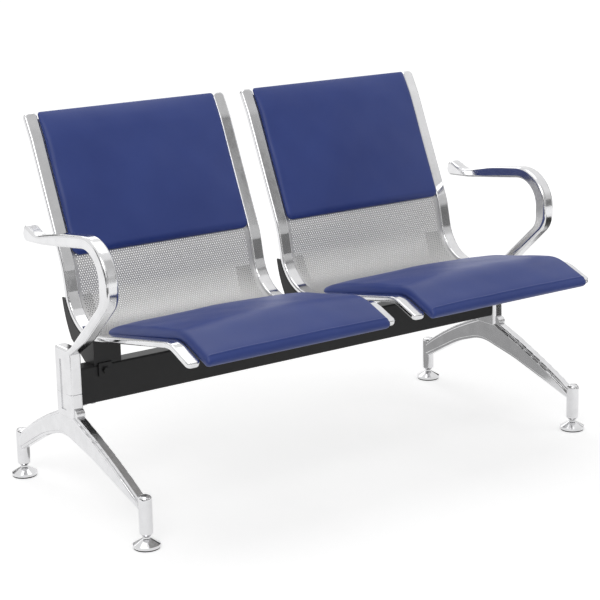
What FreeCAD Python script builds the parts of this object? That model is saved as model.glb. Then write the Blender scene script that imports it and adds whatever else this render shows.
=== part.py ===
import FreeCAD, Part
import math
import os
import Sketcher

# Two-place beam seating: a black rectangular beam between two polished leg castings, two
# bent seat frames with perforated sheet and upholstered pads, two loop arms, and four
# screw levelling feet. Millimetres. X runs along the beam, the sitter faces -Y, Z is up.
# The pieces are built with Y = 0 midway between the front and rear feet, and every one is
# placed at the end so that the origin lies on the floor under the middle of the whole box.

doc = FreeCAD.newDocument("BeamSeating")

SIZES = {
    # legs and columns
    "end_gap": 34.9, "foot_front_y": -263, "foot_rear_y": 263,
    "column_width": 30, "column_depth": 66, "column_round": 8, "column_foot_z": 198,
    "seam_z": 250, "seam_chamfer": 0.8, "knuckle_reach": 12, "arch_width": 26, "arch_round": 2.5,
    "rail_width": 19, "rail_rise": 6,
    "flute_width": 20, "flute_depth": 2, "flute_low_z": 214, "flute_high_z": 322,
    "arch_apex_y": 50, "arch_apex_z": 157.5, "arch_apex_radius": 120,
    "front_knee_y": 10, "front_knee_z": 213, "front_mid_y": -120, "front_mid_z": 163,
    "front_end_z": 93, "front_bend_y": -70, "front_bend_z": 131, "front_bend_radius": 400,
    "front_low_z": 72, "rear_knee_y": 50, "rear_knee_z": 208, "rear_mid_y": 150,
    "rear_mid_z": 165, "rear_end_z": 96, "rear_bend_y": 135, "rear_bend_z": 129,
    "rear_bend_radius": 300, "rear_low_z": 59,
    "foot_tube_radius": 14, "foot_tube_base_z": 26, "foot_tube_top_z": 109,
    "foot_tube_crown": 8, "foot_tube_chamfer": 4,
    # levelling feet
    "stud_radius": 5, "stud_gap": 0.05, "stud_low_z": 11, "stud_top_z": 66,
    "stud_bore_top_z": 72, "glide_radius": 28, "glide_rim_z": 8.5, "glide_neck_radius": 8,
    "glide_shoulder_z": 20, "glide_top_z": 23, "sole_radius": 26.5, "sole_height": 3,
    # beam
    "beam_centre_y": 29, "beam_depth": 40, "beam_height": 80, "beam_wall": 2,
    "beam_round": 4, "beam_base_z": 220,
    "tongue_length": 50, "tongue_gap": 1, "tongue_seam_gap": 3,
    "lock_screw_first": 17, "lock_screw_step": 20,
    # seat side line, given on the rear and under face of the side tubes
    "seat_width": 503.6, "seat_gap": 48,
    "bend_y": 105, "bend_z": 335, "bend_radius": 105,
    "lumbar_run": 160, "lumbar_angle": 12.3, "lumbar_radius": 150,
    "back_run": 273, "back_angle": 23.8, "crest_run": 47, "crest_angle": 29.4,
    "crest_radius": 120, "pan_run": 401, "pan_angle": 9.8, "lip_run": 62, "lip_angle": -21.8,
    "lip_radius": 60,
    # side tubes, sheet and cross bars
    "tube_width": 30, "tube_depth": 13, "tube_round": 4, "tube_wall": 1.5,
    "plug_length": 10.5, "plug_corner": 10, "plug_spigot": 14, "plug_gap": 0.1,
    "sheet_lift": 5, "sheet_thick": 1.5, "sheet_end_gap": 4, "bar_width": 28,
    "bar_front_gap": 33, "bar_rear_at": 112, "bar_low_at": 172, "bar_high_at": 24,
    # pads and their boards
    "board_thick": 5.5, "board_inset": 13, "pad_gap": 0.3, "pad_side_gap": 0.5,
    "pad_corner": 16, "pad_nose_ratio": 0.2, "pad_start_gap": 2, "seat_pad_roll": 34,
    "back_pad_roll": 22, "pad_front_roll": 8, "pad_front_ratio": 0.3,
    "seat_pad_edge": 20, "seat_pad_side": 31, "seat_pad_middle": 42, "seat_pad_over": 14,
    "back_pad_edge": 15, "back_pad_side": 23, "back_pad_middle": 37, "back_pad_over": -2,
    "pad_screw_radius": 2.5, "pad_screw_head": 5, "pad_screw_head_high": 3,
    "pad_screw_bite": 4.5, "pad_screw_x": 160, "pan_screw_first": 165,
    "pan_screw_front_gap": 96, "back_screw_first": 70, "back_screw_second": 150,
    # seat brackets
    "bracket_width": 64, "bracket_plate": 4, "bracket_spare": 2, "horn_top_z": 422,
    "horn_end_y": 139.5, "horn_end_z": 446, "horn_mid_y": 126, "horn_mid_z": 382,
    "horn_low_y": 104, "horn_low_z": 338, "clamp_tab_low_z": 276, "clamp_tab_width": 32, "clamp_offset": 8,
    "frame_bolt_low_angle": 18, "frame_bolt_high_angle": 58,
    # fasteners
    "bolt_radius": 4, "bolt_clear": 0.3, "thread_gap": 0.05, "bolt_head_radius": 7.3,
    "bolt_head_high": 5.3, "frame_bolt_length": 12, "beam_bolt_length": 12,
    "base_bolt_inset": 13, "tab_bolt_z": 288, "lock_screw_length": 16,
    # arms: corners of one closed side outline, each with the radius of its arc
    "arm_round": 7, "arm_block_top_z": 347, "arm_block_round": 7,
    "arm_root_y": 14, "arm_root_z": 325,
    "arm_neck_y": -66, "arm_neck_z": 375, "arm_neck_radius": 120,
    "arm_turn_y": -175, "arm_turn_z": 473, "arm_turn_radius": 60,
    "arm_crest_y": -175, "arm_crest_z": 610.5, "arm_crest_radius": 88,
    "arm_swell_y": 20, "arm_swell_z": 586, "arm_swell_radius": 300,
    "arm_dip_y": 120, "arm_dip_z": 566, "arm_dip_radius": 60,
    "arm_tip_y": 168, "arm_tip_z": 585, "arm_tip_radius": 12,
    "arm_heel_y": 182, "arm_heel_z": 545, "arm_heel_radius": 15,
    "arm_palm_y": 95, "arm_palm_z": 549.5, "arm_palm_radius": 300,
    "arm_inner_crest_y": -141, "arm_inner_crest_z": 579.5, "arm_inner_crest_radius": 58,
    "arm_inner_turn_y": -141, "arm_inner_turn_z": 472.5, "arm_inner_turn_radius": 38,
    "arm_inner_neck_y": -2, "arm_inner_neck_z": 350, "arm_inner_neck_radius": 60,
    "arm_inner_root_y": 45, "arm_inner_root_z": 338,
}

# The leg castings stand a fixed gap outside the two seats.
TIED = {"leg_spacing": "=2 * seat_width + seat_gap + 2 * end_gap + column_width"}

sheet = doc.addObject("Spreadsheet::Sheet", "Sizes")
for row, (alias, value) in enumerate([*SIZES.items(), *TIED.items()], start=1):
    sheet.set("A%d" % row, alias)
    sheet.set("B%d" % row, str(value))
    sheet.setAlias("B%d" % row, alias)
doc.recompute()

SIDES = {"left": -1, "right": 1}
NODES = []


def size(alias):
    """The value of one named cell of the sheet."""
    return float(sheet.get(alias))


def vector(x, y, z):
    return FreeCAD.Vector(x, y, z)


def node(label, item):
    """Give a finished sub-part its name and keep it for the export."""
    item.Label = label
    NODES.append(item)
    return item


def shaped(label, shape):
    """A sub-part whose outline follows the seat or casting lines, set as one shape."""
    item = doc.addObject("Part::Feature", "Shape_" + label)
    item.Shape = shape
    return node(label, item)


def bind(item, **expressions):
    for name, expression in expressions.items():
        item.setExpression(name, expression)
    return item


# Lines in the YZ plane, made of straight runs and tangent arcs

def across(start, stop):
    """The unit vector square to a run, on the sitter's side of the seat line."""
    run = (stop - start).normalize()
    return vector(0, run.z, -run.y)


def shifted(corners, offset):
    """Corner points of the same line, moved square to every run by the offset."""
    sides = [across(a, b) for a, b in zip(corners, corners[1:])]
    moved = [corners[0] + sides[0] * offset]
    for corner, first, second in zip(corners[1:], sides, sides[1:]):
        moved.append(corner + (first + second) * (offset / (1 + first.dot(second))))
    moved.append(corners[-1] + sides[-1] * offset)
    return moved


def rounded_edges(corners, radii):
    """Edges of the straight runs, with an arc of the given radius at each inner corner."""
    edges = []
    start = corners[0]
    for before, corner, after, radius in zip(corners, corners[1:], corners[2:], radii):
        back = (before - corner).normalize()
        onward = (after - corner).normalize()
        half = back.getAngle(onward) / 2
        reach = radius / math.tan(half)
        middle = corner + (back + onward).normalize() * (radius / math.sin(half) - radius)
        edges.append(Part.LineSegment(start, corner + back * reach).toShape())
        edges.append(Part.Arc(corner + back * reach, middle, corner + onward * reach).toShape())
        start = corner + onward * reach
    edges.append(Part.LineSegment(start, corners[-1]).toShape())
    return edges


def lean(run, degrees_from_up):
    """A run that rises and leans back by an angle."""
    angle = math.radians(degrees_from_up)
    return vector(0, run * math.sin(angle), run * math.cos(angle))


def forward(run, degrees_from_level):
    """A run towards the sitter that rises by an angle."""
    angle = math.radians(degrees_from_level)
    return vector(0, -run * math.cos(angle), run * math.sin(angle))


def seat_corners():
    """Corners of the seat line from the top of the back to the tip of the front lip."""
    bend = vector(0, size("bend_y"), size("bend_z"))
    lumbar = bend + lean(size("lumbar_run"), size("lumbar_angle"))
    crest = lumbar + lean(size("back_run"), size("back_angle"))
    top = crest + lean(size("crest_run"), size("crest_angle"))
    lip = bend + forward(size("pan_run"), size("pan_angle"))
    tip = lip + forward(size("lip_run"), size("lip_angle"))
    return [top, crest, lumbar, bend, lip, tip]


SEAT = seat_corners()
CREST_RUN, BACK_RUN, LUMBAR_RUN, PAN_RUN, LIP_RUN = range(5)
# Moving towards the sitter opens the bulging corners and closes the bend.
SEAT_RADII = [("crest_radius", 1), ("lumbar_radius", 1), ("bend_radius", -1), ("lip_radius", 1)]


def run_length(run):
    return (SEAT[run + 1] - SEAT[run]).Length


def station(run, distance, offset=0.0):
    """A point on a run, at a distance from its upper or rear end."""
    along = (SEAT[run + 1] - SEAT[run]).normalize()
    return SEAT[run] + along * distance + across(SEAT[run], SEAT[run + 1]) * offset


def corner_reach(corner, radius):
    """Length of straight run that the arc at one corner of the seat line takes up."""
    back = SEAT[corner - 1] - SEAT[corner]
    onward = SEAT[corner + 1] - SEAT[corner]
    return radius / math.tan(back.getAngle(onward) / 2)


TOP = (CREST_RUN, 0.0)
TIP = (LIP_RUN, size("lip_run"))


def seat_edges(offset, start=TOP, stop=TIP):
    """The seat line at an offset from the tubes' rear face, between two stations."""
    inner = SEAT[start[0] + 1:stop[0] + 1]
    corners = [station(*start)] + inner + [station(*stop)]
    radii = [size(name) + sign * offset for name, sign in SEAT_RADII[start[0]:stop[0]]]
    return rounded_edges(shifted(corners, offset), radii)


def edge_ends(edges):
    """First and last point of a chain of edges that runs down the seat line."""
    return edges[0].valueAt(edges[0].FirstParameter), edges[-1].valueAt(edges[-1].LastParameter)


def ribbon(low, high, start, stop, x_from, x_to):
    """A strip of plate that follows the seat line between two offsets and two X places."""
    under = seat_edges(low, start, stop)
    over = seat_edges(high, start, stop)
    (first_low, last_low), (first_high, last_high) = edge_ends(under), edge_ends(over)
    closing = [Part.LineSegment(first_low, first_high).toShape(),
               Part.LineSegment(last_low, last_high).toShape()]
    outline = Part.Wire(Part.__sortEdges__(under + over + closing))
    strip = Part.Face(outline).extrude(vector(x_to - x_from, 0, 0))
    strip.translate(vector(x_from, 0, 0))
    return strip


def flat_section(width, depth, corner, centre, side):
    """A rounded flat section in the plane of X and the given side direction."""
    flat, rise = width / 2 - corner, depth / 2 - corner

    def place(u, v):
        return centre + vector(u, 0, 0) + side * v

    bow = corner * (1 - math.sqrt(0.5))
    edges = []
    for turn in (1, -1):
        edges.append(Part.LineSegment(place(-turn * flat, turn * depth / 2),
                                      place(turn * flat, turn * depth / 2)).toShape())
        edges.append(Part.Arc(place(turn * flat, turn * depth / 2),
                              place(turn * (width / 2 - bow), turn * (depth / 2 - bow)),
                              place(turn * width / 2, turn * rise)).toShape())
        edges.append(Part.LineSegment(place(turn * width / 2, turn * rise),
                                      place(turn * width / 2, -turn * rise)).toShape())
        edges.append(Part.Arc(place(turn * width / 2, -turn * rise),
                              place(turn * (width / 2 - bow), -turn * (depth / 2 - bow)),
                              place(turn * flat, -turn * depth / 2)).toShape())
    return Part.Wire(Part.__sortEdges__(edges))


def swept(path_edges, section):
    """A solid made by moving a closed section along tangent runs and arcs."""
    pipe = Part.BRepOffsetAPI.MakePipeShell(Part.Wire(path_edges))
    pipe.add(section, False, True)
    pipe.build()
    pipe.makeSolid()
    return pipe.shape()


def block(x_from, x_to, y_from, y_to, z_from, z_to):
    return Part.makeBox(x_to - x_from, y_to - y_from, z_to - z_from,
                        vector(x_from, y_from, z_from))


def rounded_block(corners, radius, picks):
    """A box with the edges that the pick function accepts rounded."""
    box = block(*corners)
    return box.makeFillet(radius, [edge for edge in box.Edges if picks(edge)])


def is_upright(edge):
    return abs(edge.tangentAt(edge.FirstParameter).z) > 0.9


def rod(radius, start, direction, length):
    return Part.makeCylinder(radius, length, start, direction)


# Fasteners: each is a head and a shank on one axis, and the like ones share a node

def headed(name, seat, out, head_radius, head_high, shank_radius, shank_length, sides=6):
    """A bolt whose head bears on the point 'seat' and stands out along 'out'."""
    turn = FreeCAD.Rotation(vector(0, 0, 1), out)
    if sides == 6:
        head = doc.addObject("Part::Prism", name + "_head")
        head.Polygon = 6
        bind(head, Circumradius=head_radius, Height=head_high)
    else:
        head = doc.addObject("Part::Cylinder", name + "_head")
        bind(head, Radius=head_radius, Height=head_high)
    head.Placement = FreeCAD.Placement(seat, turn)
    shank = doc.addObject("Part::Cylinder", name + "_shank")
    bind(shank, Radius=shank_radius, Height=shank_length)
    shank.Placement = FreeCAD.Placement(seat, FreeCAD.Rotation(vector(0, 0, 1), out * -1))
    whole = doc.addObject("Part::Fuse", name)
    whole.Base = head
    whole.Tool = shank
    return whole


def group(label, pieces):
    bundle = doc.addObject("Part::Compound", "Group_" + label)
    bundle.Links = pieces
    return node(label, bundle)


# Places that several pieces share

BEAM_FRONT = size("beam_centre_y") - size("beam_depth") / 2
BEAM_REAR = size("beam_centre_y") + size("beam_depth") / 2
BEAM_TOP = size("beam_base_z") + size("beam_height")
COLUMN_FRONT = size("beam_centre_y") - size("column_depth") / 2
COLUMN_REAR = size("beam_centre_y") + size("column_depth") / 2
BEAM_END = size("leg_spacing") / 2 - size("column_width") / 2
SEAT_CENTRE = (size("seat_gap") + size("seat_width")) / 2
INNER_HALF = size("seat_width") / 2 - size("tube_width")
SHEET_TOP = size("sheet_lift") + size("sheet_thick")
BEND_REACH = corner_reach(LUMBAR_RUN + 1, size("bend_radius"))
BOARD_TOP = SHEET_TOP + size("board_thick")
PLATE = size("bracket_plate")


def seat_centre(side):
    return SIDES[side] * SEAT_CENTRE


def lock_screw_places(side):
    """X places of the two screws that lock a casting's tongue in the beam."""
    return [SIDES[side] * (BEAM_END - size("lock_screw_first") - step * size("lock_screw_step"))
            for step in (0, 1)]


def bracket_spans():
    """Every seat bracket: its name, the X of its outer edge, and which way it reaches in."""
    for seat in SIDES:
        for edge in SIDES:
            outer = seat_centre(seat) + SIDES[edge] * size("seat_width") / 2
            yield seat + "_seat_" + edge, outer, -SIDES[edge]


def clamp_x(outer, inward):
    """X of a bracket's two bolts into the beam."""
    return outer + inward * (size("bracket_width") / 2 - size("clamp_offset"))


# Beam

def make_beam():
    body = doc.addObject("PartDesign::Body", "Beam_body")
    outside = body.newObject("PartDesign::AdditiveBox", "Beam_outside")
    bind(outside, Length="Sizes.leg_spacing - Sizes.column_width", Width="Sizes.beam_depth",
         Height="Sizes.beam_height")
    outside.Placement = FreeCAD.Placement(vector(-BEAM_END, BEAM_FRONT, size("beam_base_z")),
                                          FreeCAD.Rotation())
    doc.recompute()
    long_edges = ["Edge%d" % (index + 1) for index, edge in enumerate(outside.Shape.Edges)
                  if edge.Length > size("leg_spacing") / 2]
    corners = body.newObject("PartDesign::Fillet", "Beam_corners")
    corners.Base = (outside, long_edges)
    bind(corners, Radius="Sizes.beam_round")
    doc.recompute()
    inside = body.newObject("PartDesign::SubtractiveBox", "Beam_inside")
    bind(inside, Length="Sizes.leg_spacing - Sizes.column_width",
         Width="Sizes.beam_depth - 2 * Sizes.beam_wall",
         Height="Sizes.beam_height - 2 * Sizes.beam_wall")
    inside.Placement = FreeCAD.Placement(
        vector(-BEAM_END, BEAM_FRONT + size("beam_wall"), size("beam_base_z") + size("beam_wall")),
        FreeCAD.Rotation())
    doc.recompute()

    wall_depth = 2 * size("beam_wall")
    holes = []

    def drill(start, direction):
        hole = doc.addObject("Part::Cylinder", "Beam_hole_%d" % len(holes))
        bind(hole, Radius="Sizes.bolt_radius + Sizes.thread_gap", Height="4 * Sizes.beam_wall")
        hole.Placement = FreeCAD.Placement(start - direction * wall_depth,
                                           FreeCAD.Rotation(vector(0, 0, 1), direction))
        holes.append(hole)

    for _, outer, inward in bracket_spans():
        x = clamp_x(outer, inward)
        drill(vector(x, BEAM_FRONT + size("base_bolt_inset"), BEAM_TOP), vector(0, 0, 1))
        drill(vector(x, BEAM_FRONT, size("tab_bolt_z")), vector(0, 1, 0))
    for side in SIDES:
        for x in lock_screw_places(side):
            drill(vector(x, size("beam_centre_y"), size("beam_base_z")), vector(0, 0, 1))
            drill(vector(x, BEAM_REAR, arm_tongue_middle()), vector(0, 1, 0))
    tools = doc.addObject("Part::MultiFuse", "Beam_holes")
    tools.Shapes = holes
    beam = doc.addObject("Part::Cut", "Beam_cut")
    beam.Base = body
    beam.Tool = tools
    node("beam", beam)


# Castings: leg and arm, which meet at the seam and push their tongues into the beam

def arm_tongue_middle():
    low = size("seam_z") + size("tongue_seam_gap")
    return (low + BEAM_TOP - size("beam_wall") - size("tongue_gap")) / 2


def tongue(side, z_from, z_to):
    """The tongue that a casting pushes into the end of the beam."""
    near = SIDES[side] * (BEAM_END + size("column_round"))
    far = SIDES[side] * (BEAM_END - size("tongue_length"))
    slack = size("beam_wall") + size("tongue_gap")
    return block(min(near, far), max(near, far), BEAM_FRONT + slack, BEAM_REAR - slack,
                 z_from, z_to)


def column(side, z_from, z_to):
    middle = SIDES[side] * size("leg_spacing") / 2
    half = size("column_width") / 2
    return rounded_block((middle - half, middle + half, COLUMN_FRONT, COLUMN_REAR, z_from, z_to),
                         size("column_round"), is_upright)


def flute(side, z_from, z_to):
    """The shallow upright channel in a column's outer face."""
    outer = SIDES[side] * (size("leg_spacing") / 2 + size("column_width") / 2)
    inner = outer - SIDES[side] * size("flute_depth")
    centre, half = size("beam_centre_y"), size("flute_width") / 2
    slot = block(min(outer, inner), max(outer, inner), centre - half, centre + half,
                 z_from, z_to)
    return slot


def arc(*points):
    return Part.Arc(*[vector(0, y, z) for y, z in points]).toShape()


def line(*points):
    return Part.LineSegment(*[vector(0, y, z) for y, z in points]).toShape()


def arch_outline():
    """Side outline of the two-legged arch, from foot tube to foot tube."""
    front, rear = size("foot_front_y"), size("foot_rear_y")
    below = [vector(0, front, size("front_low_z")),
             vector(0, size("front_bend_y"), size("front_bend_z")),
             vector(0, size("arch_apex_y"), size("arch_apex_z")),
             vector(0, size("rear_bend_y"), size("rear_bend_z")),
             vector(0, rear, size("rear_low_z"))]
    edges = rounded_edges(below, [size(name) for name in (
        "front_bend_radius", "arch_apex_radius", "rear_bend_radius")])
    front_knee = (size("front_knee_y"), size("front_knee_z"))
    rear_knee = (size("rear_knee_y"), size("rear_knee_z"))
    edges += [
        line((rear, size("rear_low_z")), (rear, size("rear_end_z"))),
        arc((rear, size("rear_end_z")), (size("rear_mid_y"), size("rear_mid_z")), rear_knee),
        line(rear_knee, front_knee),
        arc(front_knee, (size("front_mid_y"), size("front_mid_z")),
            (front, size("front_end_z"))),
        line((front, size("front_end_z")), (front, size("front_low_z"))),
    ]
    return Part.Wire(Part.__sortEdges__(edges))


def arch_layer(face, middle, width):
    """One layer of the arch, centred on its plane, with its visible long edges rounded."""
    layer = face.extrude(vector(width, 0, 0))
    layer.translate(vector(middle - width / 2, 0, 0))
    long_edges = [edge for edge in layer.Edges
                  if edge.BoundBox.XLength < 0.01 and edge.BoundBox.YLength > 1
                  and edge.BoundBox.ZMin < size("column_foot_z")]
    return layer.makeFillet(size("arch_round"), long_edges)


def arch(middle):
    """The arch: a narrow rail all round its outline and wider flanks inside it."""
    outline = Part.Face(arch_outline())
    flank = outline.makeOffset2D(-size("rail_rise"))
    rail = arch_layer(outline, middle, size("rail_width"))
    return rail.fuse(arch_layer(flank, middle, size("arch_width")))


def foot_tube(middle, y):
    """The round boss that takes a levelling stud, domed on top and chamfered below."""
    low, high = size("foot_tube_base_z"), size("foot_tube_top_z")
    tube = rod(size("foot_tube_radius"), vector(middle, y, low), vector(0, 0, 1), high - low)
    crown = [edge for edge in tube.Edges if edge.BoundBox.ZMin > high - 0.01]
    tube = tube.makeFillet(size("foot_tube_crown"), crown)
    skirt = [edge for edge in tube.Edges if edge.BoundBox.ZMax < low + 0.01]
    return tube.makeChamfer(size("foot_tube_chamfer"), skirt)


def stud_bore(middle, y):
    low = size("foot_tube_base_z")
    return rod(size("stud_radius") + size("stud_gap"), vector(middle, y, low), vector(0, 0, 1),
               size("stud_bore_top_z") - low)


def screw_bore(start, inward):
    """The tapped hole in a tongue for one locking screw."""
    return rod(size("bolt_radius") + size("thread_gap"), start, inward,
               size("lock_screw_length") + size("beam_wall"))


def knuckle(middle):
    """The hollow curve between the column's front and the top of the rail in front of it."""
    knee = vector(0, size("front_knee_y"), size("front_knee_z"))
    down = (vector(0, size("front_mid_y"), size("front_mid_z")) - knee).normalize()
    corner = knee + down * ((COLUMN_FRONT - knee.y) / down.y)
    reach = size("knuckle_reach")
    above, below = corner + vector(0, 0, reach), corner + down * reach
    half = vector(0, 0, 1).getAngle(down) / 2
    radius = reach * math.tan(half)
    bow = (vector(0, 0, 1) + down).normalize() * (radius / math.sin(math.pi / 2 - half) - radius)
    sunk = vector(0, 2 * size("arch_round"), -size("rail_rise"))
    edges = [Part.Arc(above, corner + bow, below).toShape(),
             Part.LineSegment(below, below + sunk).toShape(),
             Part.LineSegment(below + sunk, above + sunk).toShape(),
             Part.LineSegment(above + sunk, above).toShape()]
    width = size("rail_width")
    hollow = Part.Face(Part.Wire(edges)).extrude(vector(width, 0, 0))
    hollow.translate(vector(middle - width / 2, 0, 0))
    return hollow


def seam_edges(block_shape):
    """The edges of a column part that lie in the seam between leg and arm."""
    seam = size("seam_z")
    return [edge for edge in block_shape.Edges
            if max(abs(edge.BoundBox.ZMin - seam), abs(edge.BoundBox.ZMax - seam)) < 0.01]


def make_leg(side):
    middle = SIDES[side] * size("leg_spacing") / 2
    seam = size("seam_z")
    post = column(side, size("column_foot_z"), seam)
    toe = [edge for edge in post.Edges if edge.BoundBox.ZMax < size("column_foot_z") + 0.01]
    post = post.makeFillet(size("column_round") / 2, toe)
    post = post.makeChamfer(size("seam_chamfer"), seam_edges(post))
    feet = [size("foot_front_y"), size("foot_rear_y")]
    casting = post.multiFuse([arch(middle), knuckle(middle)]
                             + [foot_tube(middle, y) for y in feet])
    slack = size("beam_wall") + size("tongue_gap")
    casting = casting.fuse(tongue(side, size("beam_base_z") + slack,
                                  seam - size("tongue_seam_gap")))
    cuts = [stud_bore(middle, y) for y in feet] + [flute(side, size("flute_low_z"), seam)]
    for x in lock_screw_places(side):
        cuts.append(screw_bore(vector(x, size("beam_centre_y"), size("beam_base_z")),
                               vector(0, 0, 1)))
    shaped("leg_" + side, casting.cut(cuts).removeSplitter())


ARM_LINE = ("root", "neck", "turn", "crest", "swell", "dip", "tip", "heel", "palm",
            "inner_crest", "inner_turn", "inner_neck", "inner_root")


def arm_outline():
    """Side outline of the arm, from its root over the front and the tip and back again."""
    corners = [vector(0, size("arm_%s_y" % name), size("arm_%s_z" % name)) for name in ARM_LINE]
    radii = [size("arm_%s_radius" % name) for name in ARM_LINE[1:-1]]
    edges = rounded_edges(corners, radii)
    edges.append(Part.LineSegment(corners[-1], corners[0]).toShape())
    return Part.Wire(edges)


def arm_loop(middle):
    """The loop of the arm with all its long edges rounded, down to its root in the block."""
    width = size("column_width")
    loop = Part.Face(arm_outline()).extrude(vector(width, 0, 0))
    loop.translate(vector(middle - width / 2, 0, 0))
    root = vector(0, (size("arm_root_y") + size("arm_inner_root_y")) / 2,
                  (size("arm_root_z") + size("arm_inner_root_z")) / 2)

    def is_long(edge):
        centre = edge.CenterOfMass
        return (edge.BoundBox.XLength < 0.01
                and vector(0, centre.y - root.y, centre.z - root.z).Length > 1)

    return loop.makeFillet(size("arm_round"), [edge for edge in loop.Edges if is_long(edge)])


def make_arm(side):
    middle = SIDES[side] * size("leg_spacing") / 2
    foot = column(side, size("seam_z"), size("arm_block_top_z"))
    brow = [edge for edge in foot.Edges if edge.BoundBox.ZMin > size("arm_block_top_z") - 0.01]
    foot = foot.makeFillet(size("arm_block_round"), brow)
    foot = foot.makeChamfer(size("seam_chamfer"), seam_edges(foot))
    slack = size("beam_wall") + size("tongue_gap")
    casting = foot.fuse(tongue(side, size("seam_z") + size("tongue_seam_gap"),
                               BEAM_TOP - slack))
    cuts = [flute(side, size("seam_z"), size("flute_high_z"))]
    for x in lock_screw_places(side):
        cuts.append(screw_bore(vector(x, BEAM_REAR, arm_tongue_middle()), vector(0, -1, 0)))
    casting = casting.cut(cuts).fuse(arm_loop(middle))
    shaped("arm_" + side, casting.removeSplitter())


def make_lock_screws(side):
    """Screws through the beam into the tongues: from below for the leg, from behind for the arm."""
    size_names = ("Sizes.bolt_head_radius", "Sizes.bolt_head_high", "Sizes.bolt_radius",
                  "Sizes.lock_screw_length")
    below, behind = [], []
    for number, x in enumerate(lock_screw_places(side)):
        below.append(headed("Leg_screw_%s_%d" % (side, number),
                            vector(x, size("beam_centre_y"), size("beam_base_z")),
                            vector(0, 0, -1), *size_names))
        behind.append(headed("Arm_screw_%s_%d" % (side, number),
                             vector(x, BEAM_REAR, arm_tongue_middle()),
                             vector(0, 1, 0), *size_names))
    group("leg_screws_" + side, below)
    group("arm_screws_" + side, behind)


# Levelling feet

def outline_sketch(body, name, plane, points):
    """A closed outline in one of the body's own planes, each corner bound to expressions."""
    support = [feature for feature in body.Origin.OriginFeatures if feature.Role == plane][0]
    sketch = body.newObject("Sketcher::SketchObject", name)
    sketch.AttachmentSupport = [(support, "")]
    sketch.MapMode = "FlatFace"
    starts = [(sheet_value(u), sheet_value(v)) for u, v in points]
    count = len(points)
    for index in range(count):
        (u0, v0), (u1, v1) = starts[index], starts[(index + 1) % count]
        sketch.addGeometry(Part.LineSegment(vector(u0, v0, 0), vector(u1, v1, 0)), False)
    for index in range(count):
        after = (index + 1) % count
        sketch.addConstraint(Sketcher.Constraint("Coincident", index, 2, after, 1))
    for index, (u, v) in enumerate(points):
        for kind, expression, value in (("DistanceX", u, starts[index][0]),
                                        ("DistanceY", v, starts[index][1])):
            number = sketch.addConstraint(Sketcher.Constraint(kind, -1, 1, index, 1, value))
            sketch.setExpression("Constraints[%d]" % number, expression)
    return sketch


def sheet_value(expression):
    """The starting value of an expression that adds and subtracts named sizes."""
    total, sign = 0.0, 1
    for word in expression.split():
        if word in "+-":
            sign = 1 if word == "+" else -1
        else:
            number = word.replace("Sizes.", "")
            total += sign * (size(number) if number != word else float(word))
    return total


def turned(label, points, x, y):
    """A round piece, revolved about Z from its half outline in the XZ plane."""
    body = doc.addObject("PartDesign::Body", "Body_" + label)
    sketch = outline_sketch(body, "Outline_" + label, "XZ_Plane", points)
    doc.recompute()
    spin = body.newObject("PartDesign::Revolution", "Turned_" + label)
    spin.Profile = sketch
    spin.ReferenceAxis = (sketch, ["V_Axis"])
    spin.Angle = 360
    body.Placement = FreeCAD.Placement(vector(x, y, 0), FreeCAD.Rotation())
    return node(label, body)


def make_foot(place, x, y):
    bore = "Sizes.stud_radius + Sizes.stud_gap"
    turned("foot_sole_" + place, [
        ("0", "0"), ("Sizes.sole_radius", "0"), ("Sizes.sole_radius", "Sizes.sole_height"),
        ("0", "Sizes.sole_height")], x, y)
    turned("foot_glide_" + place, [
        ("0", "Sizes.sole_height"), ("Sizes.glide_radius", "Sizes.sole_height"),
        ("Sizes.glide_radius", "Sizes.glide_rim_z"),
        ("Sizes.glide_neck_radius", "Sizes.glide_shoulder_z"),
        ("Sizes.glide_neck_radius", "Sizes.glide_top_z"), (bore, "Sizes.glide_top_z"),
        (bore, "Sizes.stud_low_z - Sizes.stud_gap"), ("0", "Sizes.stud_low_z - Sizes.stud_gap")],
           x, y)
    turned("foot_stud_" + place, [
        ("0", "Sizes.stud_low_z"), ("Sizes.stud_radius", "Sizes.stud_low_z"),
        ("Sizes.stud_radius", "Sizes.stud_top_z"), ("0", "Sizes.stud_top_z")], x, y)


# Seat: tubes, plugs, sheet, bars, boards, pads

def tube_centre(seat, edge):
    return seat_centre(seat) + SIDES[edge] * (size("seat_width") - size("tube_width")) / 2


def make_side_tube(seat, edge, bolt_cuts):
    middle = tube_centre(seat, edge)
    depth, wall = size("tube_depth"), size("tube_wall")
    path = seat_edges(depth / 2)
    start, _ = edge_ends(path)
    side = across(SEAT[0], SEAT[1])
    outside = swept(path, flat_section(size("tube_width"), depth, size("tube_round"), start, side))
    inside = swept(path, flat_section(size("tube_width") - 2 * wall, depth - 2 * wall,
                                      size("tube_round") - wall, start, side))
    tube = outside.cut(inside)
    tube.translate(vector(middle, 0, 0))
    shaped("side_tube_%s_seat_%s" % (seat, edge), tube.cut(bolt_cuts))


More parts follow.
